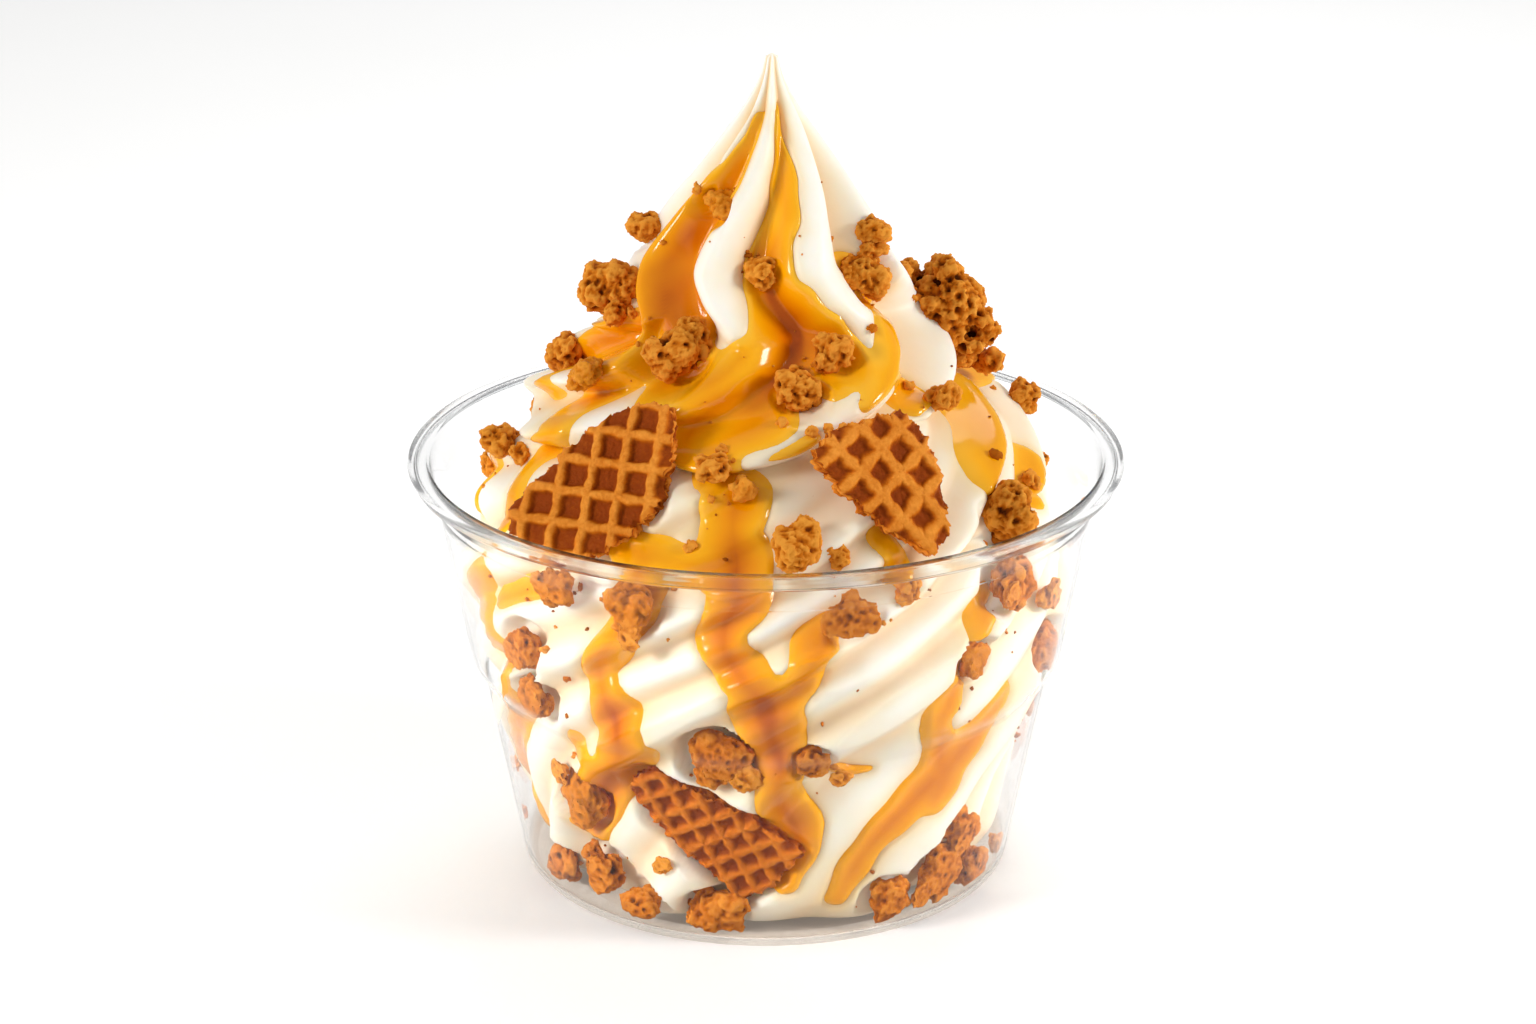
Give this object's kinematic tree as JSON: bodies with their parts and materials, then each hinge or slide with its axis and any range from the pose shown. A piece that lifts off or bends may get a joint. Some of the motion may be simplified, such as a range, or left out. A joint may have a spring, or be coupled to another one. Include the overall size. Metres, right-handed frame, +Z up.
{
  "type": "ice cream sundae",
  "caption": "Soft serve ice cream swirl with caramel sauce, waffle pieces and biscuit crumbs in a clear stepped plastic cup.",
  "frame": {"origin": "centre of the cup's base, on the surface that it stands on", "axes": "+Z up along the cup's axis, -Y towards the side that the picture shows"},
  "size_m": [0.098, 0.098, 0.1147],
  "materials": {
    "clear_plastic": "clear thin thermoformed plastic, glossy",
    "ice_cream": "soft vanilla ice cream, moist satin",
    "sauce": "glossy caramel sauce",
    "biscuit": "rough porous baked biscuit",
    "waffle": "baked waffle, dry with a slight sheen"
  },
  "bodies": {
    "root": {"crumb_a": "biscuit", "crumb_aa": "biscuit", "crumb_b": "biscuit", "crumb_back_a": "biscuit", "crumb_back_b": "biscuit", "crumb_back_c": "biscuit", "crumb_back_d": "biscuit", "crumb_back_e": "biscuit", "crumb_back_f": "biscuit", "crumb_back_g": "biscuit", "crumb_back_h": "biscuit", "crumb_back_i": "biscuit", "crumb_back_j": "biscuit", "crumb_back_k": "biscuit", "crumb_back_l": "biscuit", "crumb_bb": "biscuit", "crumb_cc": "biscuit", "crumb_d": "biscuit", "crumb_dd": "biscuit", "crumb_e": "biscuit", "crumb_ee": "biscuit", "crumb_f": "biscuit", "crumb_ff": "biscuit", "crumb_g": "biscuit", "crumb_gg": "biscuit", "crumb_h": "biscuit", "crumb_hh": "biscuit", "crumb_hi": "biscuit", "crumb_i": "biscuit", "crumb_ii": "biscuit", "crumb_j": "biscuit", "crumb_jj": "biscuit", "crumb_k": "biscuit", "crumb_kk": "biscuit", "crumb_l": "biscuit", "crumb_ll": "biscuit", "crumb_m": "biscuit", "crumb_mm": "biscuit", "crumb_n": "biscuit", "crumb_p": "biscuit", "crumb_q": "biscuit", "crumb_r": "biscuit", "crumb_s": "biscuit", "crumb_t": "biscuit", "crumb_u": "biscuit", "crumb_v": "biscuit", "crumb_w": "biscuit", "crumb_x": "biscuit", "crumb_y": "biscuit", "crumb_z": "biscuit", "crumb_zz": "biscuit", "cup": "clear_plastic", "ice_cream": "ice_cream", "wafer_chunk": "biscuit", "waffle_back": "waffle", "waffle_front": "waffle", "waffle_left": "waffle", "waffle_right": "waffle"}
  },
  "joints": []
}
